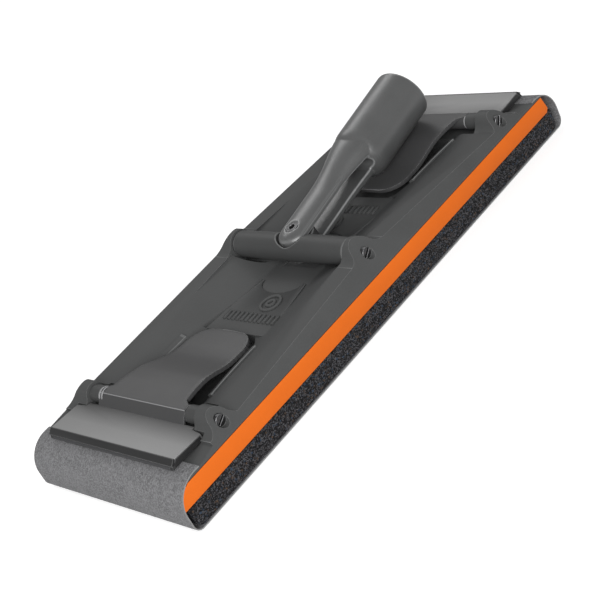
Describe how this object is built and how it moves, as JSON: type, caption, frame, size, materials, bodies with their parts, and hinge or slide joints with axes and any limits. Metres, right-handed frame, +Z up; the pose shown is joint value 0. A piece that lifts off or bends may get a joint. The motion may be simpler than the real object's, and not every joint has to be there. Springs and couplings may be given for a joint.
{
  "type": "pole drywall sander",
  "caption": "Pole drywall sander head: wrapped sandpaper on a foam pad, a spring clamp at each end, and a swivelling pole socket.",
  "frame": {"origin": "centre of the sanding face, on its underside", "axes": "+X along the head towards the end that the folded pole socket lies over, +Y towards the side of the axle ends, +Z up from the sanding face"},
  "size_m": [0.241, 0.088, 0.0507],
  "materials": {
    "chassis": "satin",
    "backing_block": "satin",
    "foam_pad": "matte",
    "sandpaper": "gritty",
    "lever": "satin",
    "jaw": "satin",
    "grip": "matte",
    "pivot_steel": "satin",
    "spacer": "satin",
    "crossbar": "satin",
    "socket": "satin"
  },
  "bodies": {
    "head": {"chassis": "chassis", "backing_block": "backing_block", "foam_pad": "foam_pad", "sandpaper": "sandpaper", "near_axle": "pivot_steel", "far_axle": "pivot_steel", "swivel_axle": "pivot_steel"},
    "near_clamp": {"near_lever": "lever", "near_jaw": "jaw", "near_grip": "grip", "near_spring": "pivot_steel", "near_rivets": "pivot_steel", "near_spacers": "spacer"},
    "far_clamp": {"far_lever": "lever", "far_jaw": "jaw", "far_grip": "grip", "far_spring": "pivot_steel", "far_rivets": "pivot_steel", "far_spacers": "spacer"},
    "yoke": {"crossbar": "crossbar", "crossbar_washers": "pivot_steel"},
    "fork": {"fork_socket": "socket", "fork_pin": "pivot_steel", "fork_washers": "pivot_steel"}
  },
  "joints": [
    {"name": "near_clamp_hinge", "type": "hinge", "parent": "head", "child": "near_clamp", "pos_m": [-0.0892, 0, 0.0221], "axis": [0, 1, 0], "range_deg": [0, 7], "stiffness_Nm_per_rad": 0.12, "springref_deg": -85.94, "deforming": ["near_spring"]},
    {"name": "far_clamp_hinge", "type": "hinge", "parent": "head", "child": "far_clamp", "pos_m": [0.0892, 0, 0.0221], "axis": [0, -1, 0], "range_deg": [0, 7], "stiffness_Nm_per_rad": 0.12, "springref_deg": -85.94, "deforming": ["far_spring"]},
    {"name": "yoke_tilt", "type": "hinge", "parent": "head", "child": "yoke", "pos_m": [0, 0, 0.024], "axis": [0, -1, 0], "range_deg": [0, 160]},
    {"name": "fork_swivel", "type": "hinge", "parent": "yoke", "child": "fork", "pos_m": [0.00443, 0, 0.02478], "axis": [-0.1736, 0, 0.9848], "range_deg": [-20, 20]}
  ]
}
